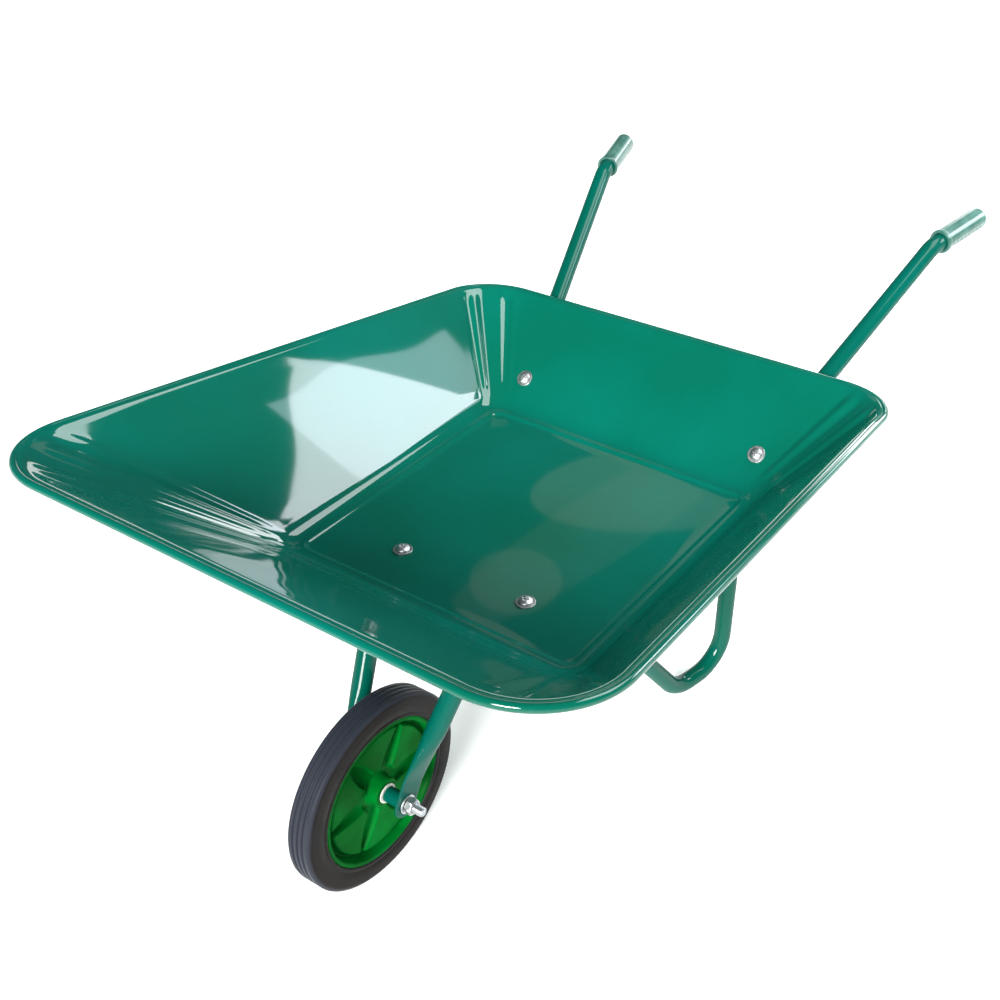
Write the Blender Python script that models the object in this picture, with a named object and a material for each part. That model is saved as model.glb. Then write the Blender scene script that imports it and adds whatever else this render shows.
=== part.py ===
"""Garden wheelbarrow: pressed tray, two bent frame tubes, solid-tyred wheel. Metres, +Z up.

The front (wheel) points to -Y and the grips to +Y. All pieces hang from the empty "barrow",
whose own origin is on the ground straight below the axle.
"""
import math

import bmesh
import bpy
import numpy as np
from mathutils import Matrix, Vector

# ---------------------------------------------------------------- driving dimensions
gap = 0.0003                    # air between pieces that touch
nut_gap = 0.0010                # air under a nut that spans the inside of a bend

# tray: outlines at the floor panel and at the outer edge of the rim
floor_height = 0.338            # inner face of the ledge around the floor panel
floor_front_y = 0.1215
floor_rear_y = 0.5390
floor_front_half = 0.2020
floor_rear_half = 0.2085
floor_front_radius = 0.012
floor_rear_radius = 0.012
panel_drop = 0.003              # the panel is pressed this far below its ledge
ledge_width = 0.020
rim_front_y = -0.157
rim_rear_y = 0.713
rim_front_half = 0.384
rim_rear_half = 0.357
rim_front_height = 0.552
rim_rear_height = 0.462
rim_front_radius = 0.108
rim_rear_radius = 0.088
sheet = 0.0010
flange_width = 0.0085
bead_radius = 0.0050
wire_radius = 0.0022
wall_fillet = 0.020             # from the corner of floor and wall, along each of them
rim_fillet = 0.006

# frame tubes
tube_radius = 0.0130
tube_wall = 0.0014
frame_x_at_axle = 0.0485        # the upright plane that each tube is bent in
frame_splay = 0.2490            # its x for each metre of y
handle_slope = math.radians(32.0)
handle_bend_y = 0.957
grip_slope = math.radians(8.5)
handle_end_y = 1.070
leg_rear_y = 0.568
leg_front_y = 0.470
leg_front_slope = math.radians(54.0)
fork_slope = math.radians(58.5)
bend_radius_fork = 0.070
bend_radius_floor = 0.060
bend_radius_foot = 0.056
bend_radius_leg = 0.118
bend_radius_handle = 0.050
blade_length = 0.044            # flattened end, measured from its tip
blade_flare = 0.085             # length over which the tube goes from flat to round
blade_half_width = 0.0190
blade_half_thickness = 0.0017
blade_straight = 0.004          # upright run above the blade before the tube turns outwards
bend_radius_blade = 0.020

# wheel
tyre_radius = 0.130
tyre_half_width = 0.0175
tyre_inner_radius = 0.0990
groove_depth = 0.0022
groove_width = 0.0032
shoulder = 0.0035
tyre_proud = 0.0012             # the tyre's side stands this far outside the centre's rim
rim_lip = 0.0060
rim_draft = 0.0040              # slope from the lip down to the web
pad_margin = 0.0080             # from the foot of the lip to a pad
pad_slope = 0.0030
web_half = 0.0050
pad_half = 0.0100               # half thickness of the web on its raised pads
hub_radius = 0.0190
hub_half_length = 0.0190
hub_bore_radius = 0.0095
pad_count = 6
pad_steps = 6                   # facets of the wheel for each pad

# axle and its fasteners
axle_radius = 0.0060
axle_half_length = 0.0765
bush_flange_radius = 0.0130
bush_flange = 0.0016
bush_length = 0.0120
spacer_radius = 0.0100
axle_washer_radius = 0.0125
axle_washer_thickness = 0.0022
axle_nut_flats = 0.0190
axle_nut_thickness = 0.0100

# tray bolts
bolt_radius = 0.0040
bolt_head_radius = 0.0090
bolt_head_height = 0.0046
bolt_tail = 0.0045              # threads that show past the nut
washer_radius = 0.0125
washer_thickness = 0.0015
nut_flats = 0.0130
nut_thickness = 0.0065
front_bolt_y = 0.1870

# stay between the legs
stay_height = 0.215
stay_width = 0.025
stay_thickness = 0.003
stay_overhang = 0.018
stay_bolt_radius = 0.0030
stay_head_radius = 0.0055
stay_head_height = 0.0040
stay_nut_flats = 0.0100
stay_nut_thickness = 0.0050
stay_bolt_tail = 0.0030

# grips
grip_length = 0.104
grip_radius = 0.0165
grip_end_wall = 0.006
grip_collar = 0.0015            # extra radius of the collar at the sleeve's mouth
grip_collar_length = 0.005
grip_rib_count = 8
grip_rib_depth = 0.0016
grip_rib_pitch = 0.010
grip_first_rib = 0.020          # from the sleeve's mouth
grip_sides = 14

corner_steps = 7
tube_sides = 12
drill_over = 0.010              # how far a drill starts and ends outside what it cuts

# ---------------------------------------------------------------- materials


def material(name, colour, roughness, metallic):
    made = bpy.data.materials.new(name)
    made.use_nodes = True
    shader = made.node_tree.nodes["Principled BSDF"]
    shader.inputs["Base Color"].default_value = (*colour, 1.0)
    shader.inputs["Roughness"].default_value = roughness
    shader.inputs["Metallic"].default_value = metallic
    return made


# ---------------------------------------------------------------- mesh helpers


def add_object(name, verts, faces, finish, parent, sharp_degrees=35.0):
    mesh = bpy.data.meshes.new(name)
    mesh.from_pydata([tuple(map(float, v)) for v in verts], [], [tuple(map(int, f)) for f in faces])
    mesh.validate()
    shape = bmesh.new()
    shape.from_mesh(mesh)
    bmesh.ops.recalc_face_normals(shape, faces=shape.faces)
    shape.to_mesh(mesh)
    shape.free()
    mesh.materials.append(finish)
    mesh.shade_smooth()
    mesh.set_sharp_from_angle(angle=math.radians(sharp_degrees))
    made = bpy.data.objects.new(name, mesh)
    bpy.context.scene.collection.objects.link(made)
    made.parent = parent
    return made


def ring_faces(rings, count, closed=False):
    """Quads between successive rings of `count` points; closed also joins the last ring to the first."""
    faces = []
    last = rings if closed else rings - 1
    for ring in range(last):
        a = ring * count
        b = ((ring + 1) % rings) * count
        for step in range(count):
            after = (step + 1) % count
            faces.append((a + step, a + after, b + after, b + step))
    return faces


def lathe(profile, steps, axis="X"):
    """Turn a closed profile of (along, radius) points about the axis; radius 0 makes a pole."""
    verts = []
    faces = []
    index = []
    for along, radius in profile:
        if radius == 0.0:
            index.append([len(verts)] * steps)
            verts.append((along, 0.0, 0.0))
            continue
        start = len(verts)
        index.append(list(range(start, start + steps)))
        for step in range(steps):
            angle = 2.0 * math.pi * step / steps
            verts.append((along, radius * math.cos(angle), radius * math.sin(angle)))
    closed = profile[0][1] > 0.0
    pairs = len(profile) if closed else len(profile) - 1
    for row in range(pairs):
        first = index[row]
        second = index[(row + 1) % len(profile)]
        for step in range(steps):
            after = (step + 1) % steps
            corners = []
            for corner in (first[step], first[after], second[after], second[step]):
                if corner not in corners:
                    corners.append(corner)
            if len(corners) > 2:
                faces.append(tuple(corners))
    if axis == "Z":
        verts = [(y, z, x) for x, y, z in verts]
    return verts, faces


def hexagon_nut(flats, thickness, bore, bore_steps=12):
    """A hexagonal nut standing on z = 0, with a round hole."""
    outer = []
    inner = []
    for step in range(bore_steps):
        angle = 2.0 * math.pi * step / bore_steps
        nearest = round(angle / (math.pi / 3.0)) * math.pi / 3.0
        reach = flats / 2.0 / math.cos(angle - nearest)
        outer.append((reach * math.cos(angle), reach * math.sin(angle)))
        inner.append((bore * math.cos(angle), bore * math.sin(angle)))
    verts = []
    for ring, z in ((outer, 0.0), (outer, thickness), (inner, thickness), (inner, 0.0)):
        verts += [(x, y, z) for x, y in ring]
    return verts, ring_faces(4, bore_steps, closed=True)


def turn_to(direction):
    """Rotation that takes +Z to a direction."""
    return Vector(direction).to_track_quat("Z", "Y").to_matrix().to_4x4()


def place(made, position, direction=(0.0, 0.0, 1.0)):
    made.location = position
    made.rotation_euler = turn_to(direction).to_euler()
    return made


def cylinder_points(start, end, radius, steps=12):
    """Vertices and faces of one closed cylinder between two points."""
    start = Vector(start)
    end = Vector(end)
    turn = turn_to(end - start)
    verts = []
    for point in (start, end):
        for step in range(steps):
            angle = 2.0 * math.pi * (step + 0.5) / steps
            offset = turn @ Vector((radius * math.cos(angle), radius * math.sin(angle), 0.0))
            verts.append(point + offset)
    faces = ring_faces(2, steps)
    faces.append(tuple(reversed(range(steps))))
    faces.append(tuple(range(steps, 2 * steps)))
    return verts, faces


def cut(made, name, holes, finish, parent):
    """Drill round holes, each given as (start, end, radius), with one wire cutter."""
    verts = []
    faces = []
    for start, end, radius in holes:
        more_verts, more_faces = cylinder_points(start, end, radius)
        faces += [tuple(index + len(verts) for index in face) for face in more_faces]
        verts += more_verts
    cutter = add_object(name, verts, faces, finish, parent)
    cutter.hide_render = True
    cutter.display_type = "WIRE"
    modifier = made.modifiers.new("holes", "BOOLEAN")
    modifier.operation = "DIFFERENCE"
    modifier.solver = "EXACT"
    modifier.object = cutter
    return cutter


# ---------------------------------------------------------------- tray surface


def outline(front_y, rear_y, front_half, rear_half, front_radius, rear_radius):
    """Closed plan outline with four tangent corner arcs, counter-clockwise from the front right corner."""
    corners = [(front_half, front_y, front_radius), (rear_half, rear_y, rear_radius),
               (-rear_half, rear_y, rear_radius), (-front_half, front_y, front_radius)]
    points = []
    for number, (x, y, radius) in enumerate(corners):
        here = np.array((x, y))
        before = np.array(corners[number - 1][:2]) - here
        after = np.array(corners[(number + 1) % 4][:2]) - here
        before /= np.linalg.norm(before)
        after /= np.linalg.norm(after)
        half_angle = math.acos(float(before @ after)) / 2.0
        middle = (before + after) / np.linalg.norm(before + after)
        centre = here + middle * radius / math.sin(half_angle)
        start = here + before * radius / math.tan(half_angle) - centre
        turn = math.pi - 2.0 * half_angle
        for step in range(corner_steps + 1):
            angle = turn * step / corner_steps
            cosine, sine = math.cos(angle), math.sin(angle)
            points.append(centre + (start[0] * cosine - start[1] * sine, start[0] * sine + start[1] * cosine))
    return np.array(points)


def level(outset, family, drop=0.0):
    """One ring of the tray: the floor or rim outline moved outwards, at that family's height."""
    if family == "floor":
        flat = outline(floor_front_y - outset, floor_rear_y + outset, floor_front_half + outset,
                       floor_rear_half + outset, floor_front_radius + outset, floor_rear_radius + outset)
        height = np.full(len(flat), floor_height)
    else:
        flat = outline(rim_front_y - outset, rim_rear_y + outset, rim_front_half + outset,
                       rim_rear_half + outset, rim_front_radius + outset, rim_rear_radius + outset)
        share = (flat[:, 1] - rim_front_y) / (rim_rear_y - rim_front_y)
        height = rim_front_height + (rim_rear_height - rim_front_height) * share
    return np.column_stack((flat, height - drop))


def blend_rings(start, corner, end, steps):
    """Quadratic curve from ring to ring, pulled towards the corner ring between them."""
    rings = []
    for step in range(steps + 1):
        t = step / steps
        rings.append((1 - t) ** 2 * start + 2 * t * (1 - t) * corner + t ** 2 * end)
    return rings


def towards(start, end, distance):
    """Points at a distance from the start ring, on the straight lines to the end ring."""
    span = end - start
    return start + span * (distance / np.linalg.norm(span, axis=1))[:, None]


def tray_rings():
    """Rings of the tray's inner face, from the floor panel out to the curled edge."""
    wall_foot = level(ledge_width, "floor")
    wall_top = level(-flange_width - bead_radius, "rim")
    rings = [level(0.0, "floor", panel_drop), level(panel_drop, "floor")]
    rings += blend_rings(level(ledge_width - wall_fillet * 0.7, "floor"), wall_foot,
                         towards(wall_foot, wall_top, wall_fillet), 4)
    rings += blend_rings(towards(wall_top, wall_foot, rim_fillet), wall_top, level(-bead_radius, "rim"), 3)
    for degrees in (30, 60, 90, 125, 160, 195):
        angle = math.radians(degrees)
        rings.append(level(-bead_radius + bead_radius * math.sin(angle), "rim",
                           bead_radius - bead_radius * math.cos(angle)))
    return rings


def build_tray(finish, parent):
    """Pressed sheet: the inner face is thickened outwards and the bolt holes are drilled."""
    rings = tray_rings()
    count = len(rings[0])
    verts = np.vstack(rings)
    faces = ring_faces(len(rings), count)
    faces.append(tuple(range(count)))
    mesh = bpy.data.meshes.new("tray")
    mesh.from_pydata(verts.tolist(), [], faces)
    made = bpy.data.objects.new("tray", mesh)
    bpy.context.scene.collection.objects.link(made)
    made.parent = parent
    shape = bmesh.new()
    shape.from_mesh(mesh)
    bmesh.ops.recalc_face_normals(shape, faces=shape.faces)
    floor_face = max(shape.faces, key=lambda face: len(face.verts))
    if floor_face.normal.z < 0.0:
        bmesh.ops.reverse_faces(shape, faces=shape.faces)
    shape.to_mesh(mesh)
    shape.free()
    mesh.materials.append(finish)
    mesh.shade_smooth()
    mesh.set_sharp_from_angle(angle=math.radians(35.0))
    thicken = made.modifiers.new("sheet", "SOLIDIFY")
    thicken.thickness = sheet
    thicken.offset = -1.0
    thicken.use_even_offset = True
    return made


def build_rim_wire(finish, parent):
    """Closed wire inside the curled edge of the tray."""
    sides = 6
    rings = []
    for side in range(sides):
        angle = 2.0 * math.pi * side / sides
        rings.append(level(-bead_radius + wire_radius * math.sin(angle), "rim",
                           bead_radius - wire_radius * math.cos(angle)))
    return add_object("rim_wire", np.vstack(rings), ring_faces(sides, len(rings[0]), closed=True),
                      finish, parent)


# ---------------------------------------------------------------- rear wall and bolt places


def rear_wall():
    """Foot and top points (y, z) of the rear wall's inner face at x = 0."""
    foot = Vector((floor_rear_y + ledge_width, floor_height))
    top_y = rim_rear_y - flange_width - bead_radius
    share = (top_y - rim_front_y) / (rim_rear_y - rim_front_y)
    top = Vector((top_y, rim_front_height + (rim_rear_height - rim_front_height) * share))
    return foot, top


def frame_x(y):
    return frame_x_at_axle + frame_splay * y


def leg_bend_centre():
    """Centre (y, z) of the bend from leg to handle: the bend's outside just touches the rear wall."""
    foot, top = rear_wall()
    along = (top - foot).normalized()
    outward = Vector((along.y, -along.x))
    reach = bend_radius_leg + tube_radius + sheet + gap
    y = leg_rear_y + bend_radius_leg
    z = foot.y + (reach - (y - foot.x) * outward.x) / outward.y
    return Vector((y, z))


def rear_bolt_place():
    """Point on the wall's inner face (y, z) where the tube touches it, and the outward normal (y, z)."""
    foot, top = rear_wall()
    along = (top - foot).normalized()
    point = foot + along * (leg_bend_centre() - foot).dot(along)
    return point, Vector((along.y, -along.x))


def handle_height(y):
    """Height of the straight handle's centre line."""
    centre = leg_bend_centre()
    return centre.y + bend_radius_leg / math.cos(handle_slope) + (y - centre.x) * math.tan(handle_slope)


panel_height = floor_height - panel_drop
tube_under_floor = panel_height - sheet - gap - tube_radius


# ---------------------------------------------------------------- frame tubes


def frame_corners():
    """Corner points of one tube's centre line, tip of the fork blade first, with bend radii."""
    blade_reach = blade_length - blade_half_width
    fork_rise = tube_under_floor - tyre_radius
    fork_top_y = fork_rise / math.tan(fork_slope)
    down = Vector((0.0, -math.cos(fork_slope), -math.sin(fork_slope)))
    axle = Vector((frame_x_at_axle, 0.0, tyre_radius))
    leg_top_y = leg_front_y - (tube_under_floor - tube_radius) / math.tan(leg_front_slope)
    end_z = handle_height(handle_bend_y) + (handle_end_y - handle_bend_y) * math.tan(grip_slope)
    turn_in = blade_reach + blade_straight
    return [
        (axle + down * blade_half_width, 0.0),
        (axle - down * turn_in, bend_radius_blade),
        (Vector((frame_x(fork_top_y), fork_top_y, tube_under_floor)), bend_radius_fork),
        (Vector((frame_x(leg_top_y), leg_top_y, tube_under_floor)), bend_radius_floor),
        (Vector((frame_x(leg_front_y), leg_front_y, tube_radius)), bend_radius_foot),
        (Vector((frame_x(leg_rear_y), leg_rear_y, tube_radius)), bend_radius_foot),
        (Vector((frame_x(leg_rear_y), leg_rear_y, handle_height(leg_rear_y))), bend_radius_leg),
        (Vector((frame_x(handle_bend_y), handle_bend_y, handle_height(handle_bend_y))), bend_radius_handle),
        (Vector((frame_x(handle_end_y), handle_end_y, end_z)), 0.0),
    ]


def bent_line(corners, max_turn=math.radians(18.0)):
    """Straight runs joined by circular bends, as points; a bend has a point each max_turn or less."""
    points = [corners[0][0]]
    for number in range(1, len(corners) - 1):
        here, radius = corners[number]
        before = (corners[number - 1][0] - here).normalized()
        after = (corners[number + 1][0] - here).normalized()
        half_angle = before.angle(after) / 2.0
        if math.pi - 2.0 * half_angle < math.radians(0.5):
            continue
        middle = (before + after).normalized()
        centre = here + middle * radius / math.sin(half_angle)
        start = here + before * radius / math.tan(half_angle) - centre
        turn = math.pi - 2.0 * half_angle
        axis = before.cross(after) * -1.0
        steps = max(2, math.ceil(turn / max_turn))
        for step in range(steps + 1):
            points.append(centre + Matrix.Rotation(turn * step / steps, 3, axis) @ start)
    points.append(corners[-1][0])
    return points


def stations(points, extra):
    """The line's own points plus extra ones at given distances from its start, in order."""
    distance = [0.0]
    for before, after in zip(points, points[1:]):
        distance.append(distance[-1] + (after - before).length)
    places = sorted([(d, p) for d, p in zip(distance, points)] + [(d, None) for d in extra],
                    key=lambda item: item[0])
    result = []
    for where, point in places:
        if point is None:
            number = next(n for n in range(1, len(distance)) if distance[n] >= where)
            share = (where - distance[number - 1]) / (distance[number] - distance[number - 1])
            point = points[number - 1].lerp(points[number], share)
        if result and where - result[-1][0] < 0.0008:
            continue
        result.append((where, point))
    return result


def tube_ring(point, tangent, half_thickness, half_width, squareness):
    """One cross-section: thin direction across the frame's plane, wide direction in it."""
    across = Vector((1.0, 0.0, 0.0))
    across = (across - tangent * across.dot(tangent)).normalized()
    wide = tangent.cross(across)
    ring = []
    for side in range(tube_sides):
        angle = 2.0 * math.pi * side / tube_sides
        cosine, sine = math.cos(angle), math.sin(angle)
        flat = math.copysign(abs(cosine) ** (1.0 - 0.75 * squareness), cosine)
        ring.append(point + across * (half_thickness * flat) + wide * (half_width * sine))
    return ring


def tube_size(where):
    """Half thickness, half width and squareness of the outer section at a distance from the tip."""
    share = min(max((where - blade_length) / blade_flare, 0.0), 1.0)
    share = share * share * (3.0 - 2.0 * share)
    half_width = blade_half_width + (tube_radius - blade_half_width) * share
    half_thickness = blade_half_thickness + (tube_radius - blade_half_thickness) * share
    if where < blade_half_width:
        half_width *= math.sqrt(max(1.0 - (1.0 - where / blade_half_width) ** 2, 0.09))
    return half_thickness, half_width, 1.0 - share


def frame_line():
    """Stations of the tube: (distance, point, tangent)."""
    tip_steps = [blade_half_width * share for share in (0.12, 0.35, 0.65, 1.0)]
    flare_steps = [blade_length + blade_flare * share for share in (0.0, 0.2, 0.4, 0.6, 0.8, 1.0)]
    line = stations(bent_line(frame_corners()), tip_steps + flare_steps)
    result = []
    for number, (where, point) in enumerate(line):
        before = line[max(number - 1, 0)][1]
        after = line[min(number + 1, len(line) - 1)][1]
        if 0 < number < len(line) - 1:
            tangent = ((point - before).normalized() + (after - point).normalized()).normalized()
        else:
            tangent = (after - before).normalized()
        result.append((where, point, tangent))
    return result


def build_frame_tube(name, side, finish, parent):
    """Hollow bent tube with a flattened fork end; side is +1 for the right and -1 for the left."""
    line = frame_line()
    outer = [tube_ring(point, tangent, *tube_size(where)) for where, point, tangent in line]
    inner = []
    for where, point, tangent in line:
        half_thickness, half_width, squareness = tube_size(where)
        if half_thickness - tube_wall > 0.003:
            inner.append(tube_ring(point, tangent, half_thickness - tube_wall,
                                   half_width - tube_wall, squareness))
    rings = outer + inner[::-1]
    verts = [vertex for ring in rings for vertex in ring]
    faces = ring_faces(len(rings), tube_sides)
    faces.append(tuple(range(tube_sides)))
    faces.append(tuple(range(len(verts) - tube_sides, len(verts))))
    verts = [(side * v.x, v.y, v.z) for v in verts]
    made = add_object(name, verts, faces, finish, parent)
    bolt, outward = rear_bolt_place()
    reach = 2.0 * tube_radius + 2.0 * drill_over
    rear_x = side * frame_x(bolt.x)
    leg_x = side * frame_x(leg_rear_y)
    front_x = side * frame_x(front_bolt_y)
    holes = [
        ((front_x, front_bolt_y, tube_under_floor + reach),
         (front_x, front_bolt_y, tube_under_floor - reach), bolt_radius + 2.0 * gap),
        ((rear_x, bolt.x - outward.x * drill_over, bolt.y - outward.y * drill_over),
         (rear_x, bolt.x + outward.x * reach * 1.3, bolt.y + outward.y * reach * 1.3),
         bolt_radius + 2.0 * gap),
        ((leg_x, leg_rear_y - reach, stay_height), (leg_x, leg_rear_y + reach, stay_height),
         stay_bolt_radius + 2.0 * gap),
        ((side * (frame_x_at_axle - drill_over), 0.0, tyre_radius),
         (side * (frame_x_at_axle + drill_over), 0.0, tyre_radius), axle_radius + 2.0 * gap),
    ]
    cut(made, name + "_holes", holes, finish, parent)
    return made


def build_grip(name, side, finish, parent):
    """Moulded sleeve closed at its end, with finger ribs along its underside."""
    line = frame_line()
    end = line[-1][1]
    tangent = line[-1][2]
    across = Vector((1.0, 0.0, 0.0))
    across = (across - tangent * across.dot(tangent)).normalized()
    up = across.cross(tangent)
    bore = (tube_radius + gap) / math.cos(math.pi / grip_sides)
    mouth = grip_end_wall - grip_length
    # rows of (distance past the tube's end, radius, share of a rib)
    profile = [(gap, bore, 0.0), (mouth, bore, 0.0), (mouth, grip_radius + grip_collar, 0.0),
               (mouth + grip_collar_length, grip_radius + grip_collar, 0.0),
               (mouth + grip_collar_length * 1.8, grip_radius, 0.0)]
    for rib in range(grip_rib_count):
        base = mouth + grip_first_rib + rib * grip_rib_pitch
        profile += [(base, grip_radius, 0.0), (base + grip_rib_pitch / 2.0, grip_radius, 1.0)]
    profile += [(0.0, grip_radius, 0.0), (grip_end_wall * 0.7, grip_radius * 0.86, 0.0),
                (grip_end_wall, grip_radius * 0.55, 0.0)]
    verts = []
    for along, radius, share in profile:
        for step in range(grip_sides):
            angle = 2.0 * math.pi * step / grip_sides
            reach = radius - grip_rib_depth * share * max(-math.sin(angle), 0.0)
            point = end + tangent * along
            point += across * (reach * math.cos(angle)) + up * (reach * math.sin(angle))
            verts.append((side * point.x, point.y, point.z))
    faces = ring_faces(len(profile), grip_sides)
    faces.append(tuple(range(grip_sides)))
    faces.append(tuple(range(len(verts) - grip_sides, len(verts))))
    return add_object(name, verts, faces, finish, parent, 50.0)


# ---------------------------------------------------------------- wheel


def build_tyre(finish, parent):
    """Solid rubber ring with a chamfered shoulder and three grooves around the tread."""
    half = tyre_half_width
    tread = [(-half, tyre_inner_radius + gap), (-half, tyre_radius - shoulder * 2.2),
             (-half + shoulder, tyre_radius)]
    for centre in (-half * 0.42, 0.0, half * 0.42):
        tread += [(centre - groove_width / 2, tyre_radius),
                  (centre - groove_width / 4, tyre_radius - groove_depth),
                  (centre + groove_width / 4, tyre_radius - groove_depth),
                  (centre + groove_width / 2, tyre_radius)]
    tread += [(half - shoulder, tyre_radius), (half, tyre_radius - shoulder * 2.2),
              (half, tyre_inner_radius + gap)]
    verts, faces = lathe(tread, pad_count * pad_steps)
    return add_object("tyre", verts, faces, finish, parent)


def pad_share(angle):
    """1 on a raised pad, 0 in a recess, with sloping sides."""
    turn = (angle / (2.0 * math.pi) * pad_count) % 1.0
    distance = abs(turn - 0.5)
    return min(max((0.36 - distance) / 0.06, 0.0), 1.0)


def build_wheel_centre(finish, parent):
    """Moulded centre: rim, dished web with raised pads, and hub, as one turned and embossed shape."""
    rim_in = tyre_inner_radius - rim_lip
    face = tyre_half_width - tyre_proud
    web_out = rim_in - rim_draft
    pad_out = web_out - pad_margin
    pad_in = hub_radius + 0.012
    # rows of (half width on a recess, half width on a pad, radius), from the rim to the hub's bore
    side_rows = [(face, face, tyre_inner_radius), (face, face, rim_in), (web_half, web_half, web_out),
                 (web_half, web_half, pad_out + pad_slope), (web_half, pad_half, pad_out),
                 (web_half, pad_half, pad_in), (web_half, web_half, pad_in - 0.004),
                 (web_half, web_half, hub_radius + 0.002), (hub_half_length, hub_half_length, hub_radius),
                 (hub_half_length, hub_half_length, hub_bore_radius)]
    steps = pad_count * pad_steps
    verts = []
    rows = [(1.0, row) for row in side_rows] + [(-1.0, row) for row in reversed(side_rows)]
    for sign, (low, high, radius) in rows:
        for step in range(steps):
            angle = 2.0 * math.pi * step / steps
            half = low + (high - low) * pad_share(angle)
            verts.append((sign * half, radius * math.cos(angle), radius * math.sin(angle)))
    return add_object("wheel_centre", verts, ring_faces(len(rows), steps, closed=True), finish, parent)


def build_ring_piece(name, profile, side, finish, parent, steps=16):
    """A turned piece on the axle, from a closed (along, radius) profile on the right side."""
    verts, faces = lathe([(side * along, radius) for along, radius in profile], steps)
    return add_object(name, verts, faces, finish, parent)


def build_axle_set(finish_steel, finish_bush, finish_paint, parent):
    """Bushes turn with the wheel; axle, spacers, washers and nuts stay with the frame."""
    clear = axle_radius + 2.0 * gap
    bush_face = hub_half_length + gap + bush_flange
    blade_in = frame_x_at_axle - blade_half_thickness
    blade_out = frame_x_at_axle + blade_half_thickness
    washer_in = blade_out + gap
    nut_in = washer_in + axle_washer_thickness + gap
    for side, word in ((1.0, "right"), (-1.0, "left")):
        bush = [(hub_half_length + gap, hub_bore_radius - gap),
                (hub_half_length + gap, bush_flange_radius), (bush_face, bush_flange_radius),
                (bush_face, clear),
                (bush_face - bush_length, clear), (bush_face - bush_length, hub_bore_radius - gap)]
        build_ring_piece("hub_bush_" + word, bush, side, finish_bush, parent)
        spacer = [(bush_face + gap, clear), (bush_face + gap, spacer_radius),
                  (blade_in - gap, spacer_radius), (blade_in - gap, clear)]
        build_ring_piece("axle_spacer_" + word, spacer, side, finish_paint, parent)
        washer_out = washer_in + axle_washer_thickness
        washer = [(washer_in, clear), (washer_in, axle_washer_radius), (washer_out, axle_washer_radius),
                  (washer_out, clear)]
        build_ring_piece("axle_washer_" + word, washer, side, finish_steel, parent)
        verts, faces = hexagon_nut(axle_nut_flats, axle_nut_thickness, clear, 18)
        nut = add_object("axle_nut_" + word, verts, faces, finish_steel, parent)
        place(nut, (side * nut_in, 0.0, 0.0), (side, 0.0, 0.0))
    end = axle_half_length
    chamfer = 0.0012
    rod = [(-end, 0.0), (-end, axle_radius - chamfer), (-end + chamfer, axle_radius),
           (end - chamfer, axle_radius), (end, axle_radius - chamfer), (end, 0.0)]
    verts, faces = lathe(rod, 16)
    add_object("axle", verts, faces, finish_steel, parent)


# ---------------------------------------------------------------- bolts


def build_bolt(name, head_radius, head_height, shank_radius, length, finish, parent):
    """Domed head above z = 0 and a shank below it."""
    profile = [(head_height, 0.0), (head_height * 0.88, head_radius * 0.45),
               (head_height * 0.5, head_radius * 0.82), (0.0, head_radius),
               (0.0, shank_radius), (-length, shank_radius), (-length, 0.0)]
    verts, faces = lathe(profile, 14, "Z")
    return add_object(name, verts, faces, finish, parent)


def build_tray_bolt(word, inner_point, outward, stack, finish, parent):
    """Bolt, washer and nut; outward points from the tray's inner face through the tube."""
    inward = -outward
    washer_foot = inner_point + inward * gap
    head_foot = washer_foot + inward * (washer_thickness + gap)
    length = stack + washer_thickness + nut_thickness + bolt_tail + 2.0 * gap
    bolt = build_bolt("tray_bolt_" + word, bolt_head_radius, bolt_head_height, bolt_radius, length,
                      finish, parent)
    place(bolt, head_foot, inward)
    clear = bolt_radius + gap
    ring = [(0.0, clear), (0.0, washer_radius), (washer_thickness * 0.7, washer_radius),
            (washer_thickness, washer_radius - 0.0005), (washer_thickness, clear)]
    verts, faces = lathe(ring, 18, "Z")
    washer = add_object("tray_washer_" + word, verts, faces, finish, parent)
    place(washer, washer_foot, inward)
    verts, faces = hexagon_nut(nut_flats, nut_thickness, clear)
    nut = add_object("tray_nut_" + word, verts, faces, finish, parent)
    place(nut, inner_point + outward * (stack + gap), outward)


def build_stay(finish_paint, finish_steel, parent):
    """Flat bar across the fronts of both legs, with a bolt and a nut at each end."""
    leg_x = frame_x(leg_rear_y)
    rear = leg_rear_y - tube_radius - gap
    front = rear - stay_thickness
    half = leg_x + stay_overhang
    low = stay_height - stay_width / 2.0
    high = stay_height + stay_width / 2.0
    verts = []
    for y in (front, rear):
        verts += [(-half, y, low), (half, y, low), (half, y, high), (-half, y, high)]
    faces = ring_faces(2, 4) + [(3, 2, 1, 0), (4, 5, 6, 7)]
    stay = add_object("leg_stay", verts, faces, finish_paint, parent)
    hole = stay_bolt_radius + 2.0 * gap
    holes = [((side * leg_x, front - drill_over, stay_height),
              (side * leg_x, rear + drill_over, stay_height), hole)
             for side in (1.0, -1.0)]
    cut(stay, "leg_stay_holes", holes, finish_paint, parent)
    for side, word in ((1.0, "right"), (-1.0, "left")):
        stack = stay_thickness + 2.0 * tube_radius + 3.0 * gap
        bolt = build_bolt("stay_bolt_" + word, stay_head_radius, stay_head_height, stay_bolt_radius,
                          stack + stay_nut_thickness + stay_bolt_tail, finish_steel, parent)
        place(bolt, (side * leg_x, front - gap, stay_height), (0.0, -1.0, 0.0))
        verts, faces = hexagon_nut(stay_nut_flats, stay_nut_thickness, stay_bolt_radius + gap)
        nut = add_object("stay_nut_" + word, verts, faces, finish_steel, parent)
        place(nut, (side * leg_x, leg_rear_y + tube_radius + gap, stay_height), (0.0, 1.0, 0.0))


# ---------------------------------------------------------------- the whole barrow


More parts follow.
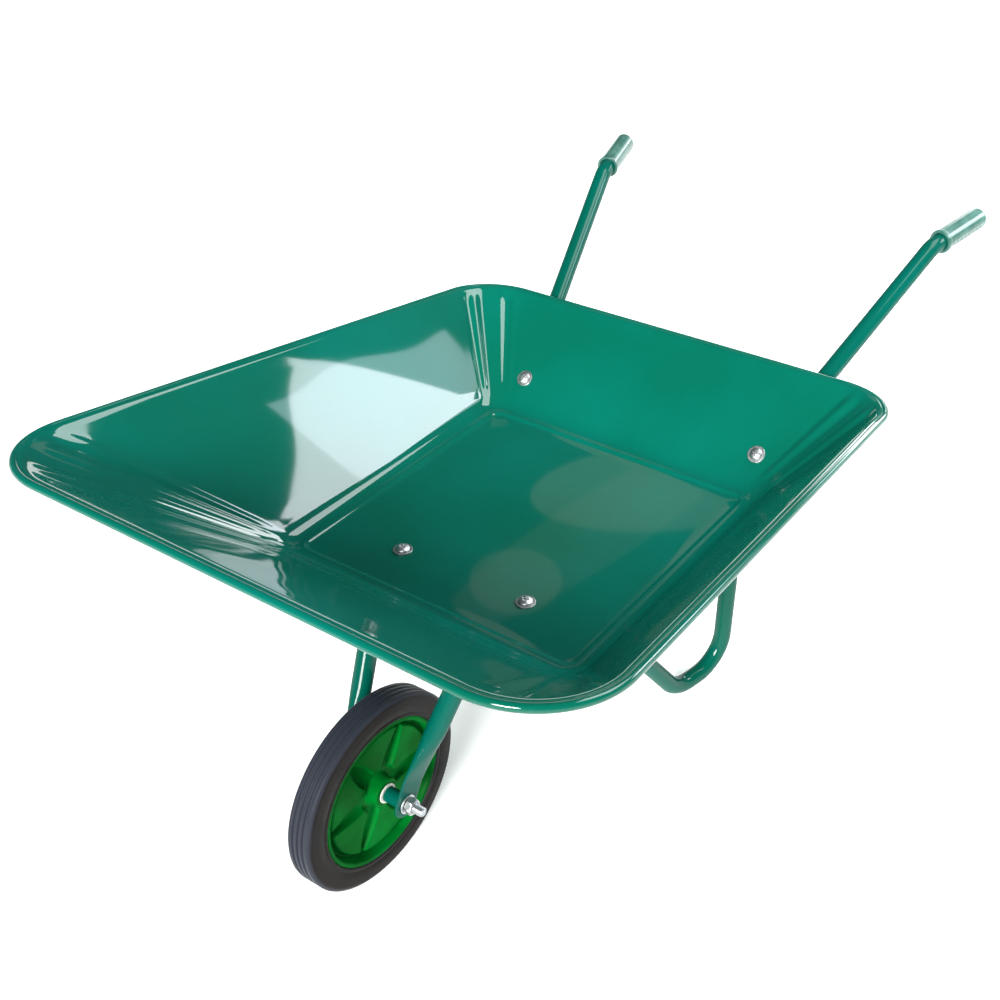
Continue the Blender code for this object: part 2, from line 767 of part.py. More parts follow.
def main():
    for existing in list(bpy.data.objects):
        bpy.data.objects.remove(existing, do_unlink=True)

    paint = material("tray_paint", (0.0, 0.235, 0.175), 0.25, 0.0)
    steel = material("zinc_steel", (0.72, 0.74, 0.74), 0.35, 1.0)
    rubber = material("tyre_rubber", (0.03, 0.028, 0.028), 0.75, 0.0)
    plastic = material("wheel_plastic", (0.0, 0.26, 0.05), 0.4, 0.0)
    grip_plastic = material("grip_plastic", (0.10, 0.30, 0.22), 0.35, 0.0)
    nylon = material("bush_nylon", (0.55, 0.55, 0.50), 0.5, 0.0)

    barrow = bpy.data.objects.new("barrow", None)
    bpy.context.scene.collection.objects.link(barrow)
    front_edge = rim_front_y
    rear_edge = frame_line()[-1][1].y + grip_end_wall * math.cos(grip_slope)
    barrow.location = (0.0, -(front_edge + rear_edge) / 2.0, 0.0)
    wheel_axis = bpy.data.objects.new("wheel_axis", None)
    bpy.context.scene.collection.objects.link(wheel_axis)
    wheel_axis.parent = barrow
    wheel_axis.location = (0.0, 0.0, tyre_radius)

    tray = build_tray(paint, barrow)
    build_rim_wire(steel, barrow)
    for side, word in ((1.0, "right"), (-1.0, "left")):
        build_frame_tube("frame_tube_" + word, side, paint, barrow)
        build_grip("grip_" + word, side, grip_plastic, barrow)

    bolt, outward = rear_bolt_place()
    hole = bolt_radius + 2.0 * gap
    tray_holes = []
    tube_stack = sheet + gap + 2.0 * tube_radius + nut_gap
    for side, word in ((1.0, "right"), (-1.0, "left")):
        front = Vector((side * frame_x(front_bolt_y), front_bolt_y, panel_height))
        rear = Vector((side * frame_x(bolt.x), bolt.x, bolt.y))
        down = Vector((0.0, 0.0, -1.0))
        back = Vector((0.0, outward.x, outward.y))
        build_tray_bolt("front_" + word, front, down, tube_stack, steel, barrow)
        build_tray_bolt("rear_" + word, rear, back, tube_stack, steel, barrow)
        tray_holes.append((front - down * drill_over, front + down * drill_over, hole))
        tray_holes.append((rear - back * drill_over, rear + back * drill_over, hole))
    cut(tray, "tray_holes", tray_holes, paint, barrow)

    build_stay(paint, steel, barrow)
    build_tyre(rubber, wheel_axis)
    build_wheel_centre(plastic, wheel_axis)
    build_axle_set(steel, nylon, paint, wheel_axis)


main()
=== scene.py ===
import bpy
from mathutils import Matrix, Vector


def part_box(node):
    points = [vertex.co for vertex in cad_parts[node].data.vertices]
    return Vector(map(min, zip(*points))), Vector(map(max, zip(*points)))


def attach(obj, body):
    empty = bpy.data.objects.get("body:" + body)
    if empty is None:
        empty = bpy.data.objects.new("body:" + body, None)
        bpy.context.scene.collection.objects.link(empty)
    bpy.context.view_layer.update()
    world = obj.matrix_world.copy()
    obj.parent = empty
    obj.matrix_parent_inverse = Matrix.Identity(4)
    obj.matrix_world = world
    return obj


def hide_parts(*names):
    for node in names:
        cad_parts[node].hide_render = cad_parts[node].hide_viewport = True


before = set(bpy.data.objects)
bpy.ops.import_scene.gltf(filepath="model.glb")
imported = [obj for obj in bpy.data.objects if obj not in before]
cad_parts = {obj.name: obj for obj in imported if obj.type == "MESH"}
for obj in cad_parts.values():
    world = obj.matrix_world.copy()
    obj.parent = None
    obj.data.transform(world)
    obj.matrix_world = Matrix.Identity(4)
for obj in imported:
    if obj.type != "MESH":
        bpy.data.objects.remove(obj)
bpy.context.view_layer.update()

import math

import bmesh
import bpy
import numpy as np
from mathutils import Matrix, Vector

# Garden wheelbarrow: pressed enamelled tray on two bent tubes, with a solid-tyred wheel in front.


# Middle of a CAD node's box, (low + high) / 2.
def nodeCentre(node):
    low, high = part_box(node)
    return np.array((low + high) / 2.0)


axleCentre = nodeCentre("axle")
axleY = axleCentre[1]
poleMerge = 2e-6                                        # metres; points closer than this become one
tiny = 1e-12                                            # keeps a division away from zero


# 0 below 0 and 1 above 1, with the cubic 3t² - 2t³ between.
def smoothStep(value):
    t = np.clip(value, 0.0, 1.0)
    return t * t * (3.0 - 2.0 * t)


# Corner numbers of the quads of a rows x columns grid of points; the last column joins the first.
def gridQuads(rows, columns, wrapRows):
    row = np.arange(rows if wrapRows else rows - 1)[:, None]
    column = np.arange(columns)[None, :]
    nextRow, nextColumn = (row + 1) % rows, (column + 1) % columns
    quads = [row * columns + column, row * columns + nextColumn,
             nextRow * columns + nextColumn, nextRow * columns + column]
    return np.stack(quads, axis=-1).reshape(-1, 4)


# Puts a grid of points into a mesh, merges poles, and turns the faces outwards.
def makePiece(name, grid, finish, wrapRows=False, sharp=40.0, floorUp=None):
    rows, columns = grid.shape[:2]
    mesh = bpy.data.meshes.new(name)
    quads = gridQuads(rows, columns, wrapRows)
    mesh.from_pydata(grid.reshape(-1, 3).tolist(), [], quads.tolist())
    shape = bmesh.new()
    shape.from_mesh(mesh)
    bmesh.ops.remove_doubles(shape, verts=shape.verts, dist=poleMerge)
    bmesh.ops.recalc_face_normals(shape, faces=shape.faces)
    if floorUp is not None:                            # an open sheet shows its face to this point
        shape.faces.ensure_lookup_table()
        nearest = min(shape.faces, key=lambda face: (face.calc_center_median() - Vector(floorUp)).length)
        if nearest.normal.z < 0.0:
            bmesh.ops.reverse_faces(shape, faces=shape.faces)
    shape.to_mesh(mesh)
    shape.free()
    mesh.materials.append(finish)
    mesh.shade_smooth()
    mesh.set_sharp_from_angle(angle=math.radians(sharp))
    piece = bpy.data.objects.new(name, mesh)
    bpy.context.scene.collection.objects.link(piece)
    return piece


# The piece rides on its body and stands for its CAD nodes.
def settle(piece, body, slotName, *nodes):
    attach(piece, body)
    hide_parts(*nodes)
    return piece


# Two unit vectors square to a direction and to each other, and the direction itself.
def axisFrame(direction):
    along = np.array(direction, float) / np.linalg.norm(direction)
    helper = np.array((0.0, 0.0, 1.0)) if abs(along[2]) < 0.9 else np.array((0.0, 1.0, 0.0))
    first = np.cross(helper, along)
    first /= np.linalg.norm(first)
    return first, np.cross(along, first), along


# Point = base + along * axis + radius * (cos angle * first + sin angle * second).
def turned(along, radius, angle, base, direction):
    first, second, axis = axisFrame(direction)
    ring = np.cos(angle)[..., None] * first + np.sin(angle)[..., None] * second
    return np.array(base) + along[..., None] * axis + radius[..., None] * ring


# A profile of (along, radius) pairs carried round an axis.
def turnedProfile(profile, steps, base, direction):
    profile = np.array(profile, float)
    angle = np.linspace(0.0, 2.0 * np.pi, steps, endpoint=False)[None, :]
    along = profile[:, :1] + 0.0 * angle
    radius = profile[:, 1:] + 0.0 * angle
    return turned(along, radius, angle + 0.0 * along, base, direction)


# A polygon whose corners are cut to quadratic curves that start a radius away from each corner.
def softCorners(corners, radius, steps=4):
    corners = np.array(corners, float)
    share = np.linspace(0.0, 1.0, steps + 1)[:, None]
    parts = []
    for number, here in enumerate(corners):
        before, after = corners[number - 1] - here, corners[(number + 1) % len(corners)] - here
        most = 0.45 * min(np.linalg.norm(before), np.linalg.norm(after))   # some of each side stays straight
        reach = min(radius, most)
        start = here + before / np.linalg.norm(before) * reach
        end = here + after / np.linalg.norm(after) * reach
        parts.append((1 - share) ** 2 * start + 2 * share * (1 - share) * here + share ** 2 * end)
    return np.vstack(parts)


# One shader socket, so that sums and products of sockets are written as Python.
class Wire:
    def __init__(self, tree, socket):
        self.tree, self.socket = tree, socket

    # One Math node; each side is a socket or a number.
    def math(self, operation, first, second):
        node = self.tree.nodes.new("ShaderNodeMath")
        node.operation = operation
        for index, value in enumerate((first, second)):
            if isinstance(value, Wire):
                self.tree.links.new(value.socket, node.inputs[index])
            else:
                node.inputs[index].default_value = value
        return Wire(self.tree, node.outputs[0])

    def __add__(self, other):
        return self.math("ADD", self, other)

    def __mul__(self, other):
        return self.math("MULTIPLY", self, other)

    __radd__ = __add__
    __rmul__ = __mul__


# A material and its node tree.
class Finish:
    def __init__(self, name, roughness, metallic=0.0, coat=0.0, coatRoughness=0.05, gloss=0.5):
        self.material = bpy.data.materials.new(name)
        self.material.use_nodes = True
        self.tree = self.material.node_tree
        self.shader = self.tree.nodes["Principled BSDF"]
        self.shader.inputs["Roughness"].default_value = roughness
        self.shader.inputs["Metallic"].default_value = metallic
        self.shader.inputs["Coat Weight"].default_value = coat
        self.shader.inputs["Coat Roughness"].default_value = coatRoughness
        self.shader.inputs["Specular IOR Level"].default_value = gloss

    # Adds a node: its settings first, then the values or links of its sockets.
    def node(self, kind, settings, inputs, output=0):
        node = self.tree.nodes.new(kind)
        for key, value in settings.items():
            setattr(node, key, value)
        for key, value in inputs.items():
            if isinstance(value, Wire):
                self.tree.links.new(value.socket, node.inputs[key])
            else:
                node.inputs[key].default_value = value
        return Wire(self.tree, node.outputs[output])

    # Object coordinates.
    def place(self):
        return self.node("ShaderNodeTexCoord", {}, {}, output=3)

    # Noise over object coordinates, 0 to 1.
    def noise(self, scale, detail=3.0, roughness=0.5):
        return self.node("ShaderNodeTexNoise", {}, {"Vector": self.place(), "Scale": scale, "Detail": detail,
                                                   "Roughness": roughness})

    # 0 where value is at low, 1 at high.
    def ramp(self, value, low, high):
        inputs = {"Value": value, "From Min": low, "From Max": high}
        return self.node("ShaderNodeMapRange", {"clamp": True}, inputs)

    # Colour between two colours.
    def mix(self, share, first, second):
        inputs = {0: share, 6: first if isinstance(first, Wire) else (*first, 1.0),
                  7: second if isinstance(second, Wire) else (*second, 1.0)}
        return self.node("ShaderNodeMix", {"data_type": "RGBA"}, inputs, output=2)

    # Links a value to the shader's socket.
    def drive(self, socket, value):
        self.tree.links.new(value.socket, self.shader.inputs[socket])

    # The height is in metres, so the distance is 1.
    def bump(self, height):
        inputs = {"Height": height, "Distance": 1.0, "Strength": 1.0}
        self.drive("Normal", self.node("ShaderNodeBump", {}, inputs))


enamel = {
    "deep": (0.0, 0.078, 0.048), "fresh": (0.0, 0.116, 0.090), "dust": (0.010, 0.13, 0.10),
    "paintedShadeGreen": (0.0, 0.020, 0.015), "roughness": 0.55, "gloss": 0.015, "coatRoughness": 0.04,
    "cloudScale": 3.0, "flakeScale": 900.0, "dustScale": 38.0, "peelScale": 260.0, "peelDepth": 0.00004,
    "rippleScale": 14.0, "rippleDepth": 0.0011,
}


# Stoved enamel: slow clouds between two greens, fine flake, dust, orange peel and a slow ripple, then a mix
# by the shade share towards a dark green, which is painted shade.
def enamelFinish(name, ripple, coat, shade):
    made = Finish(name, enamel["roughness"], 0.0, coat, enamel["coatRoughness"], enamel["gloss"])
    cloud = made.ramp(made.noise(enamel["cloudScale"], 4.0), 0.35, 0.68)
    flake = made.ramp(made.noise(enamel["flakeScale"], 2.0), 0.40, 0.72)
    dust = made.ramp(made.noise(enamel["dustScale"], 8.0, roughness=0.7), 0.66, 0.86)
    colour = made.mix(cloud * 0.7 + flake * 0.3, enamel["deep"], enamel["fresh"])
    dusty = made.mix(dust * 0.16, colour, enamel["dust"])
    # Painted shade: the whole colour is mixed towards a dark green by the shade share, so that a copy of this
    # paint looks less lit.
    made.drive("Base Color", made.mix(shade, dusty, enamel["paintedShadeGreen"]))
    made.drive("Roughness", cloud * 0.06 + flake * 0.05 + dust * 0.15 + (enamel["roughness"] - 0.06))
    peel = made.noise(enamel["peelScale"], 2.0)
    slow = made.noise(enamel["rippleScale"], 2.0)
    made.bump(peel * enamel["peelDepth"] + slow * (enamel["rippleDepth"] * ripple))
    return made.material


zinc = {"bright": (0.56, 0.58, 0.59), "dull": (0.28, 0.31, 0.34), "gold": (0.46, 0.44, 0.35)}


# Zinc plate: bright and dull patches, a faint yellow passivation and fine turning marks.
def zincFinish(name, dullness):
    made = Finish(name, 0.25, 1.0)
    patch = made.ramp(made.noise(190.0, 5.0, roughness=0.65), 0.35, 0.70)
    tint = made.ramp(made.noise(75.0, 2.0), 0.50, 0.75)
    colour = made.mix(patch * 0.6 + dullness, zinc["bright"], zinc["dull"])
    made.drive("Base Color", made.mix(tint * 0.35, colour, zinc["gold"]))
    made.drive("Roughness", patch * 0.20 + tint * 0.08 + 0.32)
    made.bump(made.noise(1400.0, 3.0) * 0.00002 + patch * 0.00003)
    return made.material


rubber = {"blackAndSheen": (0.020, 0.023, 0.032), "brown": (0.006, 0.0042, 0.0034), "dust": (0.034, 0.037, 0.048)}


# Solid rubber: charcoal tread lifted to a bluish grey that is partly painted sheen, browner side walls, bloom
# and fine grain.
def rubberFinish(name):
    made = Finish(name, 0.55, gloss=0.08)
    split = made.node("ShaderNodeSeparateXYZ", {}, {"Vector": made.place()})
    side = made.ramp(made.node("ShaderNodeMath", {"operation": "ABSOLUTE"}, {0: split}), 0.0158, 0.0172)
    bloom = made.ramp(made.noise(26.0, 6.0, roughness=0.6), 0.42, 0.75)
    # The tread colour is charcoal rubber lifted bluish, partly painted sheen.
    colour = made.mix(side, rubber["blackAndSheen"], rubber["brown"])
    made.drive("Base Color", made.mix(bloom * 0.18, colour, rubber["dust"]))
    made.drive("Roughness", bloom * 0.16 + side * 0.10 + 0.36)
    made.bump(made.noise(700.0, 4.0) * 0.00012 + made.noise(60.0, 2.0) * 0.0002)
    return made.material


plastic = {"deep": (0.0, 0.060, 0.006), "fresh": (0.0, 0.125, 0.016), "scuff": (0.008, 0.14, 0.03)}


# Moulded polypropylene: flow clouds, scuffs and a fine moulded grain.
def plasticFinish(name):
    made = Finish(name, 0.4, gloss=0.01)
    cloud = made.ramp(made.noise(14.0, 3.0), 0.35, 0.68)
    scuff = made.ramp(made.noise(120.0, 7.0, roughness=0.75), 0.62, 0.80)
    colour = made.mix(cloud, plastic["deep"], plastic["fresh"])
    made.drive("Base Color", made.mix(scuff * 0.12, colour, plastic["scuff"]))
    made.drive("Roughness", cloud * 0.08 + scuff * 0.20 + 0.30)
    made.bump(made.noise(900.0, 2.0) * 0.00004 + made.noise(90.0, 2.0) * 0.00010)
    return made.material


gripVinyl = {"shade": (0.014, 0.075, 0.058), "pale": (0.050, 0.140, 0.115), "soil": (0.012, 0.04, 0.03)}


# Dipped soft plastic: pale grey-green clouds, soiled hollows and a glossy skin.
def gripFinish(name):
    made = Finish(name, 0.35, 0.0, 0.4, 0.15, 0.3)
    cloud = made.ramp(made.noise(34.0, 4.0), 0.36, 0.66)
    soil = made.ramp(made.noise(150.0, 6.0, roughness=0.7), 0.60, 0.80)
    colour = made.mix(cloud, gripVinyl["shade"], gripVinyl["pale"])
    made.drive("Base Color", made.mix(soil * 0.22, colour, gripVinyl["soil"]))
    made.drive("Roughness", cloud * 0.08 + soil * 0.20 + 0.28)
    made.bump(made.noise(420.0, 3.0) * 0.00014)
    return made.material


# Two close tones in fine clouds.
def plainFinish(name, first, second, scale, roughness, metallic=0.0):
    made = Finish(name, roughness, metallic)
    cloud = made.ramp(made.noise(scale, 5.0), 0.35, 0.68)
    made.drive("Base Color", made.mix(cloud, first, second))
    made.drive("Roughness", cloud * 0.12 + (roughness - 0.06))
    made.bump(made.noise(scale * 6.0, 3.0) * 0.00004)
    return made.material


trayEnamel = enamelFinish("trayEnamel", 1.0, 0.8, 0.0)
# The frame's copy of the same enamel is darkened 45 % towards the dark green as painted shade, for tubes that
# face the key light.
tubeEnamel = enamelFinish("tubeEnamel", 0.0, 0.3, 0.45)
boltZinc = zincFinish("boltZinc", 0.0)
axleZinc = zincFinish("axleZinc", 0.35)
tyreRubber = rubberFinish("tyreRubber")
wheelPlastic = plasticFinish("wheelPlastic")
gripSkin = gripFinish("gripSkin")
bushNylon = plainFinish("bushNylon", (0.42, 0.42, 0.38), (0.56, 0.55, 0.50), 60.0, 0.5)
wireSteel = plainFinish("wireSteel", (0.36, 0.37, 0.38), (0.52, 0.53, 0.54), 150.0, 0.42, 1.0)
print("finishes made")


tray = {
    "floorHeight": 0.338, "floorFrontY": 0.1215, "floorRearY": 0.5390, "floorFrontHalf": 0.2020,
    "floorRearHalf": 0.2085, "floorFrontRadius": 0.012, "floorRearRadius": 0.012,
    "panelDrop": 0.003, "panelInset": 0.003, "stepWidth": 0.008, "ledge": 0.020,
    "rimFrontY": -0.157, "rimRearY": 0.713, "rimFrontHalf": 0.384, "rimRearHalf": 0.357,
    "rimFrontHeight": 0.552, "rimRearHeight": 0.462, "rimFrontRadius": 0.108, "rimRearRadius": 0.088,
    "flange": 0.0085, "bead": 0.0050, "wallFillet": 0.020, "rimFillet": 0.006, "sheet": 0.0009,
    "flangeDrop": 0.0011, "wave": 0.00022,
    # flutes: how many to a corner, where they start, how strong each set is
    "flutes": ((3.0, -0.22, 1.0), (5.0, 0.30, 0.55)), "fluteDepth": 0.020, "fluteFade": 0.35,
    "fluteFootRadius": 0.032, "fluteTopLess": 0.046, "fluteFootRun": 0.12, "fluteTopRun": 0.10,
    "cornerSteps": 36, "sideSteps": 44, "wallSteps": 46,
}


# The circle that touches both arms of a corner: its centre, the spoke to where it leaves the first arm, the
# unit vector along that arm, and the turn from arm to arm.
def cornerCircle(before, here, after, radius):
    first, second = before - here, after - here
    first, second = first / np.linalg.norm(first), second / np.linalg.norm(second)
    halfAngle = math.acos(float(np.clip(first @ second, -1.0, 1.0))) / 2.0
    middle = (first + second) / max(np.linalg.norm(first + second), tiny)
    centre = here + middle * radius / math.sin(halfAngle)
    return centre, here + first * radius / math.tan(halfAngle) - centre, first, math.pi - 2.0 * halfAngle


# Plan line from above: straight sides joined by tangent arcs, each arc point being the arc's centre plus its
# spoke turned by a share of the corner's turn.
def trayOutline(frontY, rearY, frontHalf, rearHalf, frontRadius, rearRadius):
    corners = np.array([(frontHalf, frontY), (rearHalf, rearY), (-rearHalf, rearY), (-frontHalf, frontY)])
    radii = (frontRadius, rearRadius, rearRadius, frontRadius)
    share = np.linspace(0.0, 1.0, tray["cornerSteps"] + 1)
    arcs = []
    for number, here in enumerate(corners):
        after = corners[(number + 1) % 4]
        centre, spoke, _, turn = cornerCircle(corners[number - 1], here, after, radii[number])
        angle = turn * share
        arcs.append(centre + np.column_stack((spoke[0] * np.cos(angle) - spoke[1] * np.sin(angle),
                                              spoke[0] * np.sin(angle) + spoke[1] * np.cos(angle))))
    between = np.linspace(0.0, 1.0, tray["sideSteps"] + 1)[1:-1, None]
    line = []
    for number, arc in enumerate(arcs):
        line += [arc, arc[-1] + (arcs[(number + 1) % 4][0] - arc[-1]) * between]
    return np.vstack(line)


# One ring: the floor's or the rim's outline moved outwards, at that family's height less a drop.
def trayRing(outset, family, drop=0.0):
    outwards = {"FrontY": -1.0, "RearY": 1.0, "FrontHalf": 1.0, "RearHalf": 1.0, "FrontRadius": 1.0,
                "RearRadius": 1.0}
    flat = trayOutline(*(tray[family + key] + sign * outset for key, sign in outwards.items()))
    if family == "floor":
        height = np.full(len(flat), tray["floorHeight"])
    else:
        slope = (tray["rimRearHeight"] - tray["rimFrontHeight"]) / (tray["rimRearY"] - tray["rimFrontY"])
        height = tray["rimFrontHeight"] + (flat[:, 1] - tray["rimFrontY"]) * slope
    return np.column_stack((flat[:, 0], flat[:, 1] + axleY, height - drop))


# Quadratic curve from ring to ring, pulled towards the corner ring.
def curveRings(start, corner, end, steps):
    shares = np.linspace(0.0, 1.0, steps + 1)
    return [(1 - t) ** 2 * start + 2 * t * (1 - t) * corner + t ** 2 * end for t in shares]


# Start plus a distance along the unit vector to the end.
def towards(start, end, distance):
    span = end - start
    return start + span * (distance / np.linalg.norm(span, axis=1))[:, None]


# Unit cross product of the steps round and out, turned to point up on the floor.
def surfaceNormal(grid):
    around = np.roll(grid, -1, axis=1) - np.roll(grid, 1, axis=1)
    normal = np.cross(around, np.gradient(grid, axis=0))
    normal /= np.maximum(np.linalg.norm(normal, axis=2, keepdims=True), tiny)
    ringOnFloor = 20
    return normal * np.sign(normal[ringOnFloor, 0, 2])


# Rings from the middle of the floor out over the ledge, up the walls and round the curled edge. The walls
# then move along their normals by flutes in the corners, depth * cos(turns * share of the corner), and by
# slow waves, wave * sin(x) * sin(y).
def buildTray():
    bead = tray["bead"]
    panel = trayRing(-tray["panelInset"], "floor", tray["panelDrop"])
    middle = np.array((0.0, (tray["floorFrontY"] + tray["floorRearY"]) / 2.0 + axleY,
                       tray["floorHeight"] - tray["panelDrop"]))
    rings = [middle + (panel - middle) * share for share in np.linspace(0.0, 1.0, 15)]
    for share in np.linspace(0.1, 1.0, 10):                      # pressed step from panel to ledge
        drop = tray["panelDrop"] * (1.0 - float(smoothStep(share)))
        rings.append(trayRing(tray["stepWidth"] * share - tray["panelInset"], "floor", drop))
    foot = trayRing(tray["ledge"], "floor")
    top = trayRing(-tray["flange"] - bead, "rim", tray["flangeDrop"])
    wallStart, wallEnd = towards(foot, top, tray["wallFillet"]), towards(top, foot, tray["rimFillet"])
    rings += curveRings(trayRing(tray["ledge"] - tray["wallFillet"] * 0.7, "floor"), foot, wallStart, 12)
    rise = [0.0] * len(rings)
    for share in np.linspace(0.0, 1.0, tray["wallSteps"] + 1)[1:-1]:
        rings.append(wallStart + (wallEnd - wallStart) * share)
        rise.append(share)
    rings += curveRings(wallEnd, top, trayRing(-bead - tray["flange"] * 0.35, "rim", tray["flangeDrop"]), 7)
    turns = np.concatenate((np.linspace(-52.0, 100.0, 15), np.linspace(115.0, 200.0, 6)))    # degrees of curl
    for angle in np.radians(turns):
        rings.append(trayRing(-bead + bead * math.sin(angle), "rim", bead - bead * math.cos(angle)))
    rise += [0.0] * (len(rings) - len(rise))

    grid, rise = np.array(rings), np.array(rise)[:, None]
    normal = surfaceNormal(grid)
    corner = np.linspace(0.0, 1.0, tray["cornerSteps"] + 1)
    flute = sum(power * np.cos(2.0 * np.pi * (count * corner + start))
                for count, start, power in tray["flutes"])
    flute *= np.sin(np.pi * corner) ** tray["fluteFade"]
    straight = np.zeros(tray["sideSteps"] - 1)
    around = np.tile(np.concatenate((flute, straight)), 4)[None, :]
    radius = tray["fluteFootRadius"] + (tray["rimFrontRadius"] - tray["fluteTopLess"]) * rise
    depth = tray["fluteDepth"] * radius * np.minimum(rise / tray["fluteFootRun"], 1.0)
    depth = depth * np.minimum((1.0 - rise) / tray["fluteTopRun"], 1.0)
    x, y = grid[..., 0], grid[..., 1]
    wave = np.sin(24.0 * x + 1.3) * np.sin(19.0 * y + 0.4) + 0.6 * np.sin(43.0 * x - 31.0 * y + 0.8)
    edge = np.minimum(rise / 0.1, 1.0) * np.minimum((1.0 - rise) / 0.1, 1.0) * (rise > 0.0)
    grid = grid + normal * (depth * around * (rise > 0.0) + tray["wave"] * wave * edge)[..., None]

    normal = surfaceNormal(grid)
    normal[0] = (0.0, 0.0, 1.0)
    shell = np.concatenate((grid, (grid - normal * tray["sheet"])[::-1]))
    return settle(makePiece("trayPan", shell, trayEnamel, sharp=50.0), "barrow", "tray_paint", "tray")


buildTray()
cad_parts["rim_wire"].data.materials.clear()
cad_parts["rim_wire"].data.materials.append(wireSteel)
print("tray made")


tube = {
    "radius": 0.0130, "xAtAxle": 0.0485, "splay": 0.2490, "handleSlope": 32.0, "handleBendY": 0.957,
    "gripSlope": 8.5, "handleEndY": 1.070, "legRearY": 0.568, "legFrontY": 0.470, "legFrontSlope": 54.0,
    "forkSlope": 58.5, "forkBend": 0.070, "floorBend": 0.060, "footBend": 0.056, "legBend": 0.118,
    "handleBend": 0.050, "bladeBend": 0.020, "bladeStraight": 0.004, "traySheet": 0.001, "gap": 0.0003,
    "bladeLength": 0.044, "bladeFlare": 0.085, "bladeHalfWidth": 0.0190, "bladeHalfThickness": 0.0017,
    "sides": 28, "step": 0.004,
}


# Foot and top (y, z) of the rear wall's inner face at x = 0.
def rearWall():
    topY = tray["rimRearY"] - tray["flange"] - tray["bead"]
    share = (topY - tray["rimFrontY"]) / (tray["rimRearY"] - tray["rimFrontY"])
    topZ = tray["rimFrontHeight"] + (tray["rimRearHeight"] - tray["rimFrontHeight"]) * share
    return np.array((tray["floorRearY"] + tray["ledge"], tray["floorHeight"])), np.array((topY, topZ))


# Corner points of one tube's centre line from the fork's tip to the grip, with bend radii.
def tubeCorners():
    foot, top = rearWall()
    along = (top - foot) / np.linalg.norm(top - foot)
    outward = np.array((along[1], -along[0]))
    reach = tube["legBend"] + tube["radius"] + tube["traySheet"] + tube["gap"]
    bendY = tube["legRearY"] + tube["legBend"]
    bendZ = foot[1] + (reach - (bendY - foot[0]) * outward[0]) / outward[1]
    slope, rise = math.radians(tube["handleSlope"]), math.radians(tube["forkSlope"])

    def handleHeight(y):                                # height of the handle's straight centre line at y
        return bendZ + tube["legBend"] / math.cos(slope) + (y - bendY) * math.tan(slope)

    under = tray["floorHeight"] - tray["panelDrop"] - tube["traySheet"] - tube["gap"] - tube["radius"]
    forkTopY = (under - axleCentre[2]) / math.tan(rise)
    legTopY = tube["legFrontY"] - (under - tube["radius"]) / math.tan(math.radians(tube["legFrontSlope"]))
    endZ = handleHeight(tube["handleBendY"])
    endZ += (tube["handleEndY"] - tube["handleBendY"]) * math.tan(math.radians(tube["gripSlope"]))
    down = np.array((-math.cos(rise), -math.sin(rise)))
    tip = down * tube["bladeHalfWidth"]
    turnIn = -down * (tube["bladeLength"] - tube["bladeHalfWidth"] + tube["bladeStraight"])
    flat = [(tip[0], axleCentre[2] + tip[1], 0.0), (turnIn[0], axleCentre[2] + turnIn[1], tube["bladeBend"]),
            (forkTopY, under, tube["forkBend"]), (legTopY, under, tube["floorBend"]),
            (tube["legFrontY"], tube["radius"], tube["footBend"]),
            (tube["legRearY"], tube["radius"], tube["footBend"]),
            (tube["legRearY"], handleHeight(tube["legRearY"]), tube["legBend"]),
            (tube["handleBendY"], handleHeight(tube["handleBendY"]), tube["handleBend"]),
            (tube["handleEndY"], endZ, 0.0)]
    flat = np.array(flat)
    x = tube["xAtAxle"] + tube["splay"] * flat[:, 0]
    x[:2] = tube["xAtAxle"]
    return np.column_stack((x, flat[:, 0] + axleY, flat[:, 1])), flat[:, 2]


# Straight runs joined by circular bends, as a fine line of points.
def bentLine(corners, radii):
    points = [corners[:1]]
    leastTurn = 0.009                                   # radians; a smaller bend is left out
    for number in range(1, len(corners) - 1):
        centre, spoke, first, turn = cornerCircle(*corners[number - 1:number + 2], radii[number])
        if turn >= leastTurn:
            angle = np.linspace(0.0, turn, 41)[:, None]
            points.append(centre + spoke * np.cos(angle) - first * radii[number] * np.sin(angle))
    points.append(corners[-1:])
    return np.vstack(points)


# Distance along a line at each of its points.
def runAlong(line):
    return np.concatenate(([0.0], np.cumsum(np.linalg.norm(np.diff(line, axis=0), axis=1))))


# Point = line + across * halfAcross * |cos|^(1 - 0.75 squareness) + wide * halfWide * sin.
def swept(line, halfAcross, halfWide, squareness, sides, acrossAxis):
    tangent = np.gradient(line, runAlong(line), axis=0)
    tangent /= np.linalg.norm(tangent, axis=1, keepdims=True)
    across = np.array(acrossAxis, float) - tangent * (tangent @ np.array(acrossAxis, float))[:, None]
    across /= np.linalg.norm(across, axis=1, keepdims=True)
    wide = np.cross(tangent, across)
    angle = np.linspace(0.0, 2.0 * np.pi, sides, endpoint=False)[None, :]
    flat = np.sign(np.cos(angle)) * np.abs(np.cos(angle)) ** (1.0 - 0.75 * squareness[:, None])
    return (line[:, None, :] + across[:, None, :] * (halfAcross[:, None] * flat)[..., None]
            + wide[:, None, :] * (halfWide[:, None] * np.sin(angle))[..., None])


# Points of a line at given distances along it, straight between its own points.
def resample(line, stations):
    return np.column_stack([np.interp(stations, runAlong(line), line[:, axis]) for axis in range(3)])


# Share of full size near a round end: the circle sqrt(1 - (1 - where / reach)²).
def roundEnd(where, reach):
    return np.sqrt(np.clip(1.0 - np.clip(1.0 - where / reach, 0.0, 1.0) ** 2, 0.0, 1.0))


tubeLine = bentLine(*tubeCorners())


